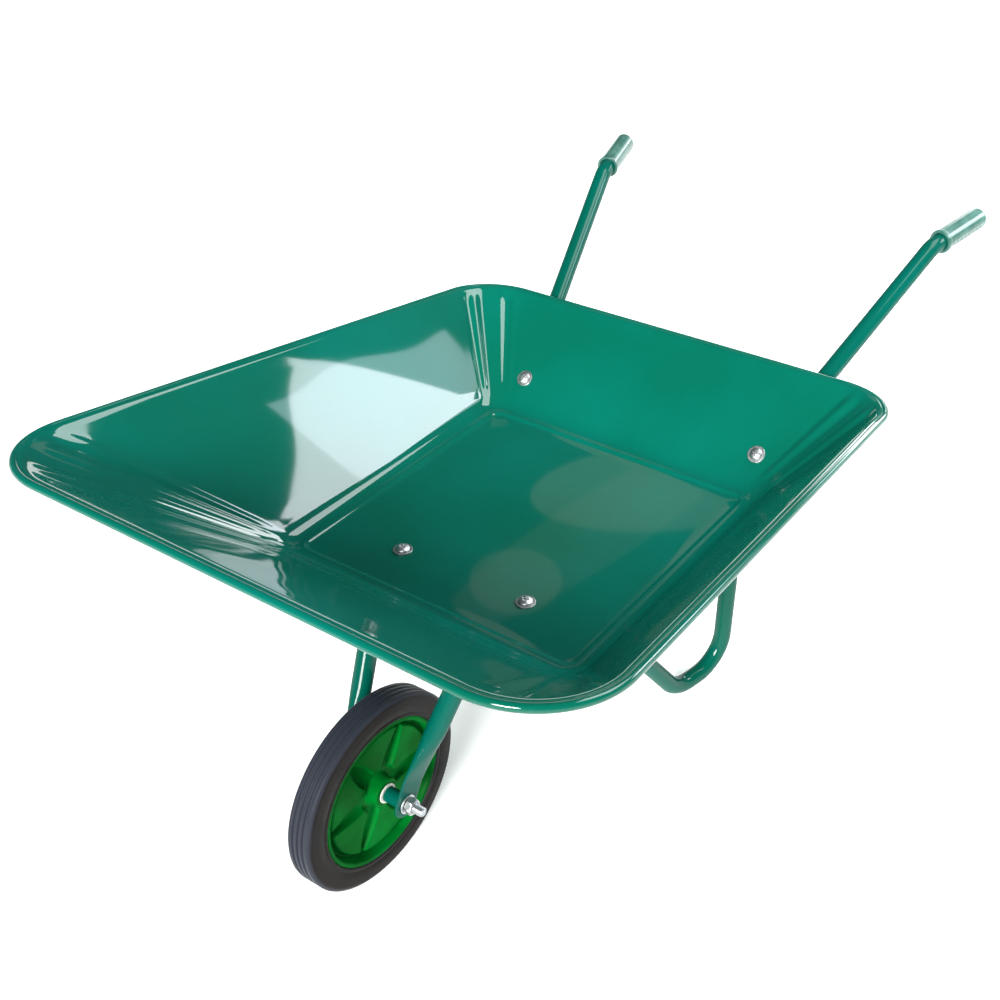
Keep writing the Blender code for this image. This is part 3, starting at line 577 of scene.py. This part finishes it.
# The tube's section goes from a flat blade at the fork to a circle, smoothly over the flare's length.
def buildFrameTube(name, node, side):
    line = tubeLine * (side, 1.0, 1.0)
    length = runAlong(line)[-1]
    where = np.concatenate((np.linspace(0.0, 0.0012, 6), np.linspace(0.002, 0.024, 16),
                            np.arange(0.027, length, tube["step"])))
    points = resample(line, where)
    share = smoothStep((where - tube["bladeLength"]) / tube["bladeFlare"])
    wide = tube["bladeHalfWidth"] + (tube["radius"] - tube["bladeHalfWidth"]) * share
    wide = wide * roundEnd(where, tube["bladeHalfWidth"])
    thin = tube["bladeHalfThickness"] + (tube["radius"] - tube["bladeHalfThickness"]) * share
    thin = thin * roundEnd(where, tube["bladeHalfThickness"])
    grid = swept(points, thin, wide, 1.0 - share, tube["sides"], (1.0, 0.0, 0.0))
    grid = np.concatenate((grid, np.repeat(points[-1:][:, None, :], tube["sides"], axis=1)))
    piece = makePiece(name, grid, tubeEnamel, sharp=60.0)
    return settle(piece, "barrow", "frame_paint", node)


grip = {
    "length": 0.104, "radius": 0.0165, "endWall": 0.006, "endInset": 0.010,
    "collar": 0.0014, "collarLength": 0.005, "collarSlope": 0.003,
    "ribs": 8, "ribFrom": 0.016, "ribPitch": 0.010, "ribDepth": 0.0022, "sides": 48,
}


# Sleeve along the handle's end: radius - ribDepth * wave(along) * underside share, with a collar at the
# mouth and a quarter-ellipse end.
def buildGrip(name, node, side):
    line = tubeLine * (side, 1.0, 1.0)
    end, tangent = line[-1], line[-1] - line[-2]
    tangent = tangent / np.linalg.norm(tangent)
    across = np.array((1.0, 0.0, 0.0)) - tangent * tangent[0]
    across /= np.linalg.norm(across)
    up = np.cross(tangent, across)
    up *= np.sign(up[2])
    bore, mouth = tube["radius"] + tube["gap"], -grip["length"] + grip["endWall"]
    body = np.linspace(mouth + 0.0014, 0.0, 130)
    past = (body - mouth - grip["collarLength"]) / grip["collarSlope"]
    bodyRadius = grip["radius"] + grip["collar"] * (1.0 - smoothStep(past))
    angle = np.linspace(0.0, np.pi / 2.0, 12)[1:]
    domeAlong = grip["endWall"] * np.sin(angle)
    domeRadius = grip["radius"] - grip["endInset"] * (1.0 - np.cos(angle))
    lip = grip["radius"] + grip["collar"]
    inside = np.array([(tube["gap"], 0.0), (tube["gap"], bore), (mouth + 0.001, bore), (mouth, bore + 0.0008),
                       (mouth, lip - 0.0009), (mouth + 0.0004, lip - 0.0003)])
    along = np.concatenate((inside[:, 0], body, domeAlong, [grip["endWall"]]))
    radius = np.concatenate((inside[:, 1], bodyRadius, domeRadius, [0.0]))
    outer = np.arange(len(along)) >= len(inside)
    start = mouth + grip["ribFrom"]
    rib = 0.5 - 0.5 * np.cos(2.0 * np.pi * (along - start) / grip["ribPitch"])
    rib = rib ** 0.7 * (along > start) * (along < start + grip["ribs"] * grip["ribPitch"]) * outer
    turn = np.linspace(0.0, 2.0 * np.pi, grip["sides"], endpoint=False)[None, :]
    under = smoothStep((-np.sin(turn) + 0.15) / 0.8)
    reach = radius[:, None] - grip["ribDepth"] * rib[:, None] * under
    grid = (end + tangent * along[:, None, None] + across * (reach * np.cos(turn))[..., None]
            + up * (reach * np.sin(turn))[..., None])
    piece = makePiece(name, grid, gripSkin, sharp=50.0)
    return settle(piece, "barrow", "grip_plastic", node)


for side, word in ((1, "Right"), (-1, "Left")):
    buildFrameTube("frameTube" + word, "frame_tube_" + word.lower(), side)
    buildGrip("grip" + word, "grip_" + word.lower(), side)
print("frame tubes and grips made")


fastener = {
    "headRadius": 0.0090, "headHeight": 0.0046, "shank": 0.0040, "washerRadius": 0.0125,
    "washerThickness": 0.0015, "flats": 0.0130, "nutHeight": 0.0065, "recess": 0.0022, "recessReach": 0.0046,
    "recessWidth": 0.00125, "gap": 0.0003, "tail": 0.0045, "pitch": 0.00125, "threadDepth": 0.00035,
    "boreBevel": 0.0006,
}


# Round head height * (1 - 0.93 (r / radius)²)^0.6 with a cross recess, then a shank whose radius dips by a
# helical thread, 0.5 - 0.5 cos(turns of along / pitch + angle).
def boltGrid(base, direction, headRadius, headHeight, shank, length, pitch, recess=True):
    turn = np.linspace(0.0, 2.0 * np.pi, 64, endpoint=False)[None, :]
    radial = np.linspace(0.0, 1.0, 30)[:, None] ** 0.8 * headRadius
    dome = headHeight * (1.0 - 0.93 * (radial / headRadius) ** 2) ** 0.6 + 0.0 * turn
    x, y = np.abs(radial * np.cos(turn)), np.abs(radial * np.sin(turn))
    near, far = np.minimum(x, y), np.maximum(x, y)
    cross = smoothStep((fastener["recessWidth"] - near) / 0.0006)
    cross = cross * smoothStep((fastener["recessReach"] - far) / 0.0016)
    along = dome - (fastener["recess"] * cross if recess else 0.0)
    radius = radial + 0.0 * turn
    down = np.concatenate(([0.00045, 0.0, 0.0], -np.arange(0.0004, length, pitch / 6.0), [-length, -length]))
    wide = np.concatenate(([headRadius, headRadius - 0.0002, shank], np.full(len(down) - 5, shank),
                           [shank - 0.0006, 0.0]))[:, None]
    row = np.arange(len(down))[:, None]
    thread = 0.5 - 0.5 * np.cos(2.0 * np.pi * down[:, None] / pitch + turn)
    reach = wide - fastener["threadDepth"] * thread * (row > 3) * (row < len(down) - 2)
    along = np.concatenate((along, down[:, None] + 0.0 * turn))
    radius = np.concatenate((radius, reach))
    return turned(along, radius, turn + 0.0 * along, base, direction)


# Six flats, flats / 2 / cos(angle to the nearest flat), limited by a cone at both faces.
def nutGrid(base, direction, flats, height, bore, turnBy=0.0):
    turn = np.linspace(0.0, 2.0 * np.pi, 72, endpoint=False)[None, :]
    nearest = np.round(turn / (np.pi / 3.0)) * np.pi / 3.0
    hexagon = flats / 2.0 / np.cos(turn - nearest)
    bevel = fastener["boreBevel"]
    cone = np.array([(0.0, 0.93), (0.0003, 0.98), (0.0009, 1.045), (0.0016, 1.2)])    # height, share of flats
    farCone = np.array((height, 0.0)) + cone[::-1] * (-1.0, 1.0)
    outside = np.concatenate((cone, [(height / 2.0, 1.2)], farCone))
    z = np.concatenate(([0.0], outside[:, 0], [height, height - bevel, bevel]))[:, None]
    hole = np.array((bore + bevel, bore + bevel, bore, bore))[:, None] + 0.0 * turn
    radius = np.vstack((hole[:1], np.minimum(hexagon, flats / 2.0 * outside[:, 1:]), hole[1:]))
    return turned(z + 0.0 * turn, radius, turn + turnBy + 0.0 * z, base, direction)


# Square section with soft edges, carried round an axis.
def ringGrid(base, direction, outer, bore, thickness, softness, steps):
    profile = softCorners([(0.0, bore), (0.0, outer), (thickness, outer), (thickness, bore)], softness)
    return turnedProfile(profile, steps, base, direction)


# A zinc plated part of the barrow that doesn't turn.
def fitZinc(name, grid, node, finish=boltZinc, wrapRows=True):
    return settle(makePiece(name, grid, finish, wrapRows), "barrow", "zinc_steel", node)


# Bolt, washer and nut, all on the line from the washer's centre to the nut's.
def buildTrayBolt(end, side):
    word = end + "_" + side.lower()
    label = end.capitalize() + side
    washer, nut = nodeCentre("tray_washer_" + word), nodeCentre("tray_nut_" + word)
    outward = (nut - washer) / np.linalg.norm(nut - washer)
    foot = washer - outward * (fastener["washerThickness"] / 2.0 + fastener["gap"])
    nutFoot = nut - outward * fastener["nutHeight"] / 2.0
    length = np.linalg.norm(nutFoot - foot) + fastener["nutHeight"] + fastener["tail"]
    grid = boltGrid(foot, -outward, fastener["headRadius"], fastener["headHeight"], fastener["shank"], length,
                    fastener["pitch"])
    fitZinc("trayBolt" + label, grid, "tray_bolt_" + word, wrapRows=False)
    bore, thickness = fastener["shank"] + fastener["gap"], fastener["washerThickness"]
    grid = ringGrid(washer + outward * thickness / 2.0, -outward, fastener["washerRadius"], bore, thickness,
                    thickness * 0.35, 64)
    fitZinc("trayWasher" + label, grid, "tray_washer_" + word)
    grid = nutGrid(nutFoot, outward, fastener["flats"], fastener["nutHeight"], bore)
    fitZinc("trayNut" + label, grid, "tray_nut_" + word)


for end in ("front", "rear"):
    for side in ("Right", "Left"):
        buildTrayBolt(end, side)


stay = {
    "halfWidth": 0.0125, "halfThickness": 0.0015, "headRadius": 0.0055, "headHeight": 0.0040, "shank": 0.0030,
    "flats": 0.0100, "nutHeight": 0.0050, "pitch": 0.0010,
}


# Flat bar with round ends, carried along x: width * circle at both ends.
def buildStay():
    low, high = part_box("leg_stay")
    centre = nodeCentre("leg_stay")
    half = (high.x - low.x) / 2.0
    where = np.concatenate((np.linspace(0.0, stay["halfThickness"], 5),
                            np.linspace(0.002, stay["halfWidth"], 12), np.linspace(0.02, half, 12)))
    where = np.concatenate((where, 2.0 * half - where[-2::-1]))
    line = centre + np.column_stack((where - half, 0.0 * where, 0.0 * where))
    away = np.minimum(where, 2.0 * half - where)
    thin = stay["halfThickness"] * roundEnd(away, stay["halfThickness"])
    wide = stay["halfWidth"] * roundEnd(away, stay["halfWidth"])
    grid = swept(line, thin, wide, np.ones(len(where)), tube["sides"], (0.0, 1.0, 0.0))
    settle(makePiece("legStay", grid, tubeEnamel), "barrow", "frame_paint", "leg_stay")
    for side in ("Right", "Left"):
        word = side.lower()
        nut = nodeCentre("stay_nut_" + word)
        head = np.array((nut[0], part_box("stay_bolt_" + word)[0].y + stay["headHeight"], nut[2]))
        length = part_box("stay_bolt_" + word)[1].y - head[1]
        grid = boltGrid(head, (0.0, -1.0, 0.0), stay["headRadius"], stay["headHeight"], stay["shank"], length,
                        stay["pitch"], recess=False)
        fitZinc("stayBolt" + side, grid, "stay_bolt_" + word, wrapRows=False)
        foot = nut - np.array((0.0, stay["nutHeight"] / 2.0, 0.0))
        bore = stay["shank"] + fastener["gap"]
        grid = nutGrid(foot, (0.0, 1.0, 0.0), stay["flats"], stay["nutHeight"], bore)
        fitZinc("stayNut" + side, grid, "stay_nut_" + word)


buildStay()
print("bolts and stay made")


wheel = {
    "radius": 0.130, "half": 0.0175, "inner": 0.0993, "grooves": (-0.0074, 0.0, 0.0074), "grooveHalf": 0.0015,
    "grooveDepth": 0.0024, "shoulder": 0.0042, "web": 0.0024, "pad": 0.0076, "pads": 6, "steps": 360,
}


# Tread radius = radius - grooveDepth * sum of exp(-((x - groove) / half)^4); flat sides with a bead line.
def buildTyre():
    half, radius = wheel["half"], wheel["radius"]
    x = np.linspace(-half + wheel["shoulder"], half - wheel["shoulder"], 97)
    groove = sum(np.exp(-((x - place) / wheel["grooveHalf"]) ** 4) for place in wheel["grooves"])
    tread = np.column_stack((x, radius - wheel["grooveDepth"] * groove))
    sideWall = np.array([(0.0169, wheel["inner"]), (0.0173, 0.0997), (half, 0.1003), (half, 0.1030),
                         (0.0170, 0.1036), (0.0170, 0.1046), (half, 0.1052), (half, 0.1150), (half, 0.1220),
                         (0.0174, 0.1236), (0.0169, 0.1254), (0.0158, 0.1277), (0.0146, 0.1293),
                         (0.0138, 0.1299)])
    profile = np.vstack((sideWall * (-1.0, 1.0), tread, sideWall[::-1]))
    grid = turnedProfile(profile, 240, axleCentre, (1.0, 0.0, 0.0))
    piece = makePiece("tyreRing", grid, tyreRubber, wrapRows=True, sharp=60.0)
    return settle(piece, "wheel", "tyre_rubber", "tyre")


# Half width = web + pad * radial window * angular window; between the pads a valley narrows from the hub
# out to the rim.
def buildWheelCentre():
    lip = [(0.0990, 0.0150), (0.0987, 0.0159), (0.0980, 0.0163), (0.0948, 0.0163), (0.0938, 0.0160),
           (0.0932, 0.0150), (0.0922, 0.0100), (0.0914, 0.0058), (0.0904, 0.0034), (0.0894, 0.0025)]
    web = np.linspace(0.0888, 0.0222, 56)
    hub = [(0.0214, 0.0026), (0.0203, 0.0044), (0.0196, 0.0080), (0.0191, 0.0130), (0.0188, 0.0178),
           (0.0184, 0.0187), (0.0176, 0.0190), (0.0102, 0.0190), (0.0095, 0.0184)]
    rows = np.vstack((lip, np.column_stack((web, np.full(len(web), wheel["web"]))), hub))
    angle = np.linspace(0.0, 2.0 * np.pi, wheel["steps"], endpoint=False)[None, :]
    r = rows[:, :1]
    away = np.abs((angle * wheel["pads"] / (2.0 * np.pi)) % 1.0 - 0.5)       # 0 mid pad, 0.5 in a valley
    valley = 0.020 + 0.230 * np.clip((0.084 - r) / 0.054, 0.0, 1.0) ** 1.1
    slope = 0.0035 * wheel["pads"] / (2.0 * np.pi * r)
    pads = smoothStep((0.5 - valley - away) / slope)
    pads = pads * smoothStep((0.0872 - r) / 0.004) * smoothStep((r - 0.0265) / 0.006)
    dish = 0.0012 * smoothStep((0.085 - r) / 0.05)
    half = rows[:, 1:] + (wheel["pad"] - dish) * pads
    right = turned(half, r + 0.0 * half, angle + 0.0 * half, axleCentre, (1.0, 0.0, 0.0))
    left = turned(-half, r + 0.0 * half, angle + 0.0 * half, axleCentre, (1.0, 0.0, 0.0))
    grid = np.concatenate((right, left[::-1]))
    piece = makePiece("wheelCentre", grid, wheelPlastic, wrapRows=True, sharp=60.0)
    return settle(piece, "wheel", "wheel_plastic", "wheel_centre")


axle = {
    "radius": 0.0060, "half": 0.0765, "threadFrom": 0.049, "pitch": 0.00175, "threadDepth": 0.00075,
    "endBevel": 0.0011, "boreGap": 0.0006, "flats": 0.0190, "nutTurn": 0.35, "washerRadius": 0.0125,
    "spacerRadius": 0.0100, "bushRadius": 0.0130, "bushTubeRadius": 0.0092, "bushFlange": 0.0016,
}


# Rod along x whose radius dips by depth * (0.5 - 0.5 cos(turns of x / pitch + angle))^0.8 on both threaded
# ends.
def buildAxle():
    turn = np.linspace(0.0, 2.0 * np.pi, 48, endpoint=False)[None, :]
    end = axle["half"]
    threaded = np.arange(axle["threadFrom"], end - 0.0012, axle["pitch"] / 7.0)
    x = np.concatenate(([-end, -end], -threaded[::-1], threaded, [end, end]))
    radius = np.full(len(x), axle["radius"])
    radius[[1, -2]] = axle["radius"] - axle["endBevel"]
    radius[[0, -1]] = 0.0
    dip = (0.5 - 0.5 * np.cos(2.0 * np.pi * x[:, None] / axle["pitch"] + turn)) ** 0.8
    dip = dip * (np.abs(x) < end - 0.0005)[:, None]
    dip = dip * smoothStep((np.abs(x) - axle["threadFrom"]) / 0.001)[:, None]
    reach = radius[:, None] - axle["threadDepth"] * dip
    grid = turned(x[:, None] + 0.0 * turn, reach, turn + 0.0 * reach, axleCentre, (1.0, 0.0, 0.0))
    fitZinc("axleRod", grid, "axle", axleZinc, wrapRows=False)


# Spacer, washer, nut and bush of one side, each between the x limits of its CAD node.
def buildAxlePieces(side):
    word, sign = side.lower(), (1.0 if side == "Right" else -1.0)
    direction = (sign, 0.0, 0.0)
    bore = axle["radius"] + axle["boreGap"]

    def inner(node):                                    # centre of its inner face, and its length along x
        low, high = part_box(node + "_" + word)
        near, far = sorted((abs(low.x), abs(high.x)))
        return axleCentre * (0.0, 1.0, 1.0) + np.array((sign * near, 0.0, 0.0)), far - near

    base, length = inner("axle_spacer")
    grid = ringGrid(base, direction, axle["spacerRadius"], bore, length, 0.0007, 48)
    settle(makePiece("axleSpacer" + side, grid, tubeEnamel, wrapRows=True), "barrow", "frame_paint",
           "axle_spacer_" + word)
    base, length = inner("axle_washer")
    grid = ringGrid(base, direction, axle["washerRadius"], bore, length, length * 0.35, 64)
    fitZinc("axleWasher" + side, grid, "axle_washer_" + word, axleZinc)
    base, length = inner("axle_nut")
    grid = nutGrid(base, direction, axle["flats"], length, bore, axle["nutTurn"])
    fitZinc("axleNut" + side, grid, "axle_nut_" + word, axleZinc)
    base, length = inner("hub_bush")
    step = length - axle["bushFlange"]
    profile = softCorners([(length, bore), (length, axle["bushRadius"]), (step, axle["bushRadius"]),
                           (step, axle["bushTubeRadius"]), (0.0, axle["bushTubeRadius"]), (0.0, bore)],
                          0.0004)
    grid = turnedProfile(profile, 48, base, direction)
    settle(makePiece("hubBush" + side, grid, bushNylon, wrapRows=True), "wheel", "bush_nylon",
           "hub_bush_" + word)


buildTyre()
buildWheelCentre()
buildAxle()
for side in ("Right", "Left"):
    buildAxlePieces(side)
print("wheel and axle made")


view = {"place": (0.7224, -1.1383, 1.1902), "azimuth": 30.709, "elevation": 35.073, "roll": 2.119,
        "lens": 40.98, "sensor": 36.0, "shift": (-0.1094, 0.0321)}


# Camera axes from its azimuth, elevation and roll.
def buildCamera():
    a, e, r = (math.radians(view[key]) for key in ("azimuth", "elevation", "roll"))
    back = Vector((math.sin(a) * math.cos(e), -math.cos(a) * math.cos(e), math.sin(e)))
    level = Vector((math.cos(a), math.sin(a), 0.0))
    over = back.cross(level)
    right = level * math.cos(r) + over * math.sin(r)
    up = over * math.cos(r) - level * math.sin(r)
    data = bpy.data.cameras.new("viewCamera")
    data.lens, data.sensor_width = view["lens"], view["sensor"]
    data.shift_x, data.shift_y = view["shift"]
    camera = bpy.data.objects.new("viewCamera", data)
    bpy.context.scene.collection.objects.link(camera)
    camera.matrix_world = Matrix.Translation(view["place"]) @ Matrix((right, up, back)).transposed().to_4x4()
    bpy.context.scene.camera = camera


studio = {
    "paper": (0.88, 0.88, 0.87), "paperCloud": (0.90, 0.90, 0.90), "floorReach": 6.0, "coveRadius": 1.2,
    "wallHeight": 7.0, "sky": 0.06, "skyColour": (0.92, 0.95, 1.0),
    # name: (azimuth from +x towards +y, elevation, breadth in degrees, strength, colour)
    "suns": {"keyLight": (-74.0, 25.0, 24.0, 8.6, (1.0, 0.99, 0.97))},
    # name: (place, azimuth and elevation it faces from, roll, width, height, watts, colour, soft edge)
    "panels": {
        "skyLight": ((0.96, 1.03, 2.65), 47.0, 62.0, 0.0, 1.8, 1.1, 62.0, (0.95, 0.98, 1.0), False),
        "windowLight": ((1.665, 1.839, 1.704), 47.0, 30.0, 29.0, 0.86, 0.60, 24.0, (0.92, 0.93, 1.0), False),
        "windowShade": ((1.472, 1.999, 1.730), 47.0, 30.0, -24.0, 0.75, 0.60, 8.0, (0.80, 0.90, 1.0), False),
        "backLight": ((0.25, 3.05, 1.45), 86.0, 19.0, 0.0, 2.2, 0.45, 40.0, (0.96, 0.98, 1.0), False),
        "warmLight": ((-1.08, 2.31, 1.98), 117.0, 32.5, 8.0, 0.62, 0.20, 1.9, (1.0, 0.86, 0.70), True),
        "warmTail": ((-1.20, 1.965, 2.05), 121.5, 36.0, 34.0, 0.80, 0.16, 0.80, (1.0, 0.84, 0.66), True),
        "warmLightLow": ((-1.32, 1.62, 2.12), 126.0, 39.5, 0.0, 0.20, 0.14, 0.32, (1.0, 0.84, 0.66), True),
    },
    # a soft edge is made of ellipses of these sizes, brighter the smaller they are
    "softSizes": (1.75, 1.5, 1.25, 1.0, 0.75, 0.5, 0.25), "floorGlow": 0.35,
}


# A lamp at a place, turned, that the camera doesn't see.
def addLamp(name, kind, turn, place, watts, colour):
    data = bpy.data.lights.new(name, kind)
    data.energy, data.color = watts, colour
    lamp = bpy.data.objects.new(name, data)
    bpy.context.scene.collection.objects.link(lamp)
    lamp.matrix_world = Matrix.Translation(place) @ turn
    lamp.visible_camera = False
    return data


# Rotation that takes +Z to a direction given by its azimuth and elevation, after a roll about +Z.
def facing(azimuth, elevation, roll=0.0):
    a, e = math.radians(azimuth), math.radians(elevation)
    away = Vector((math.cos(a) * math.cos(e), math.sin(a) * math.cos(e), math.sin(e)))
    level = Vector((-math.sin(a), math.cos(a), 0.0))
    turn = Matrix((level, away.cross(level), away)).transposed()
    return (turn @ Matrix.Rotation(math.radians(roll), 3, "Z")).to_4x4()


# A (height, radius) profile carried round the middle of the room, in pale paper that glows a little.
def paperSheet(name, finishName, height, radius, glow, floorUp=None):
    made = Finish(finishName, 0.75)
    cloud = made.noise(1.2, 2.0)
    made.drive("Base Color", made.mix(cloud * 0.3, studio["paper"], studio["paperCloud"]))
    made.shader.inputs["Emission Color"].default_value = (1.0, 1.0, 1.0, 1.0)
    made.shader.inputs["Emission Strength"].default_value = glow
    grid = turnedProfile(np.column_stack((height, radius)), 96, (0.0, 0.0, 0.0), (0.0, 0.0, 1.0))
    return makePiece(name, grid, made.material, floorUp=floorUp)


# A round pale floor that curves up at its far edge into a wall, a soft key light, and panels of light whose
# reflections lie on the tray.
def buildStudio():
    angle = np.linspace(0.0, np.pi / 2.0, 13)
    coveRadii = studio["floorReach"] + studio["coveRadius"] * np.sin(angle)
    radius = np.concatenate(((0.0, 1.0, 2.5, 4.0), coveRadii))
    height = np.concatenate((np.zeros(4), studio["coveRadius"] * (1.0 - np.cos(angle)))) - 0.0005
    floor = paperSheet("studioFloor", "paperFloor", height, radius, studio["floorGlow"], (0.0, 0.0, 0.0))
    height = np.linspace(studio["coveRadius"] - 0.01, studio["wallHeight"], 6)
    radius = np.full(len(height), studio["floorReach"] + studio["coveRadius"])
    wall = paperSheet("studioWall", "paperWall", height, radius, 1.0)
    for kind in ("diffuse", "glossy", "shadow"):        # seen by the camera only, so it lights nothing
        setattr(wall, "visible_" + kind, False)
    for name, (azimuth, elevation, breadth, strength, colour) in studio["suns"].items():
        sun = addLamp(name, "SUN", facing(azimuth, elevation), (0.0, 0.0, 3.0), strength, colour)
        sun.angle = math.radians(breadth)
    for name, panel in studio["panels"].items():
        place, azimuth, elevation, roll, width, height, watts, colour, soft = panel
        sizes = studio["softSizes"] if soft else (1.0,)
        turn = facing(azimuth, elevation, roll)
        for number, size in enumerate(sizes):
            lamp = addLamp(name + str(number + 1), "AREA", turn, place, watts * size / sum(sizes), colour)
            lamp.shape = "ELLIPSE" if soft else "RECTANGLE"
            lamp.size, lamp.size_y = width * size, height * size
    world = bpy.data.worlds.new("paleRoom")
    world.use_nodes = True
    world.node_tree.nodes["Background"].inputs["Color"].default_value = (*studio["skyColour"], 1.0)
    world.node_tree.nodes["Background"].inputs["Strength"].default_value = studio["sky"]
    bpy.context.scene.world = world
    bpy.context.scene.view_settings.view_transform = "Standard"      # no film curve over the colours


buildCamera()
buildStudio()
print("camera and studio made")
